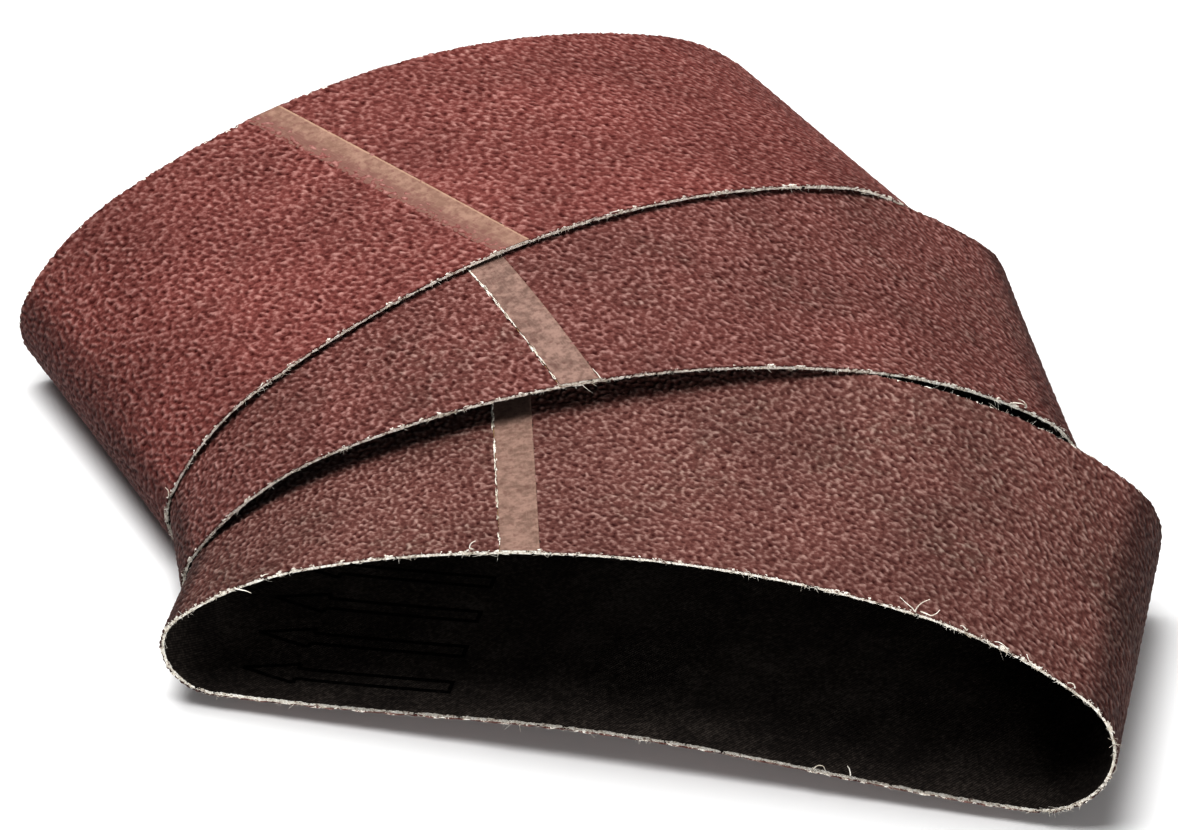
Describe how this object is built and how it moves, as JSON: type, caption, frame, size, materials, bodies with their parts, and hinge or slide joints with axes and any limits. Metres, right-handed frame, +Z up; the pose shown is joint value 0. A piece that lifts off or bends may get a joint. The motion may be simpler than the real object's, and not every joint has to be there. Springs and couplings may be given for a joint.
{
  "type": "set of nested endless sanding belts",
  "caption": "Wide cloth-backed abrasive loops lying one inside the next and fanned out, each with a lapped, glued splice, for a hand-held belt sander.",
  "frame": {"origin": "under the middle of the bounding box of the three fanned belts, on the surface that they lie on", "axes": "+Z up; +Y along the middle belt's own axis, into the loops, so that the open mouths face -Y; +X to the right as seen from the mouths"},
  "size_m": [0.3004, 0.3302, 0.0787],
  "materials": {
    "backing_cloth": "matte woven cotton and polyester cloth, dark brown-black",
    "abrasive_grain": "rough, coarse red-brown grain in resin",
    "lap_glue": "dull set glue",
    "splice_skin": "dull ground-off resin, tan"
  },
  "bodies": {
    "outer_belt": {"outer_cloth": "backing_cloth", "outer_grain": "abrasive_grain", "outer_glue": "lap_glue", "outer_splice": "splice_skin"},
    "middle_belt": {"middle_cloth": "backing_cloth", "middle_grain": "abrasive_grain", "middle_glue": "lap_glue", "middle_splice": "splice_skin"},
    "inner_belt": {"inner_cloth": "backing_cloth", "inner_grain": "abrasive_grain", "inner_glue": "lap_glue", "inner_splice": "splice_skin"}
  },
  "joints": [
    {"name": "draw_out_middle", "type": "slide", "parent": "outer_belt", "child": "middle_belt", "axis": [0, -1, 0], "range_m": [0, 0.08]},
    {"name": "draw_out_inner", "type": "slide", "parent": "middle_belt", "child": "inner_belt", "axis": [-0.3746, -0.9272, 0], "range_m": [0, 0.08]}
  ]
}
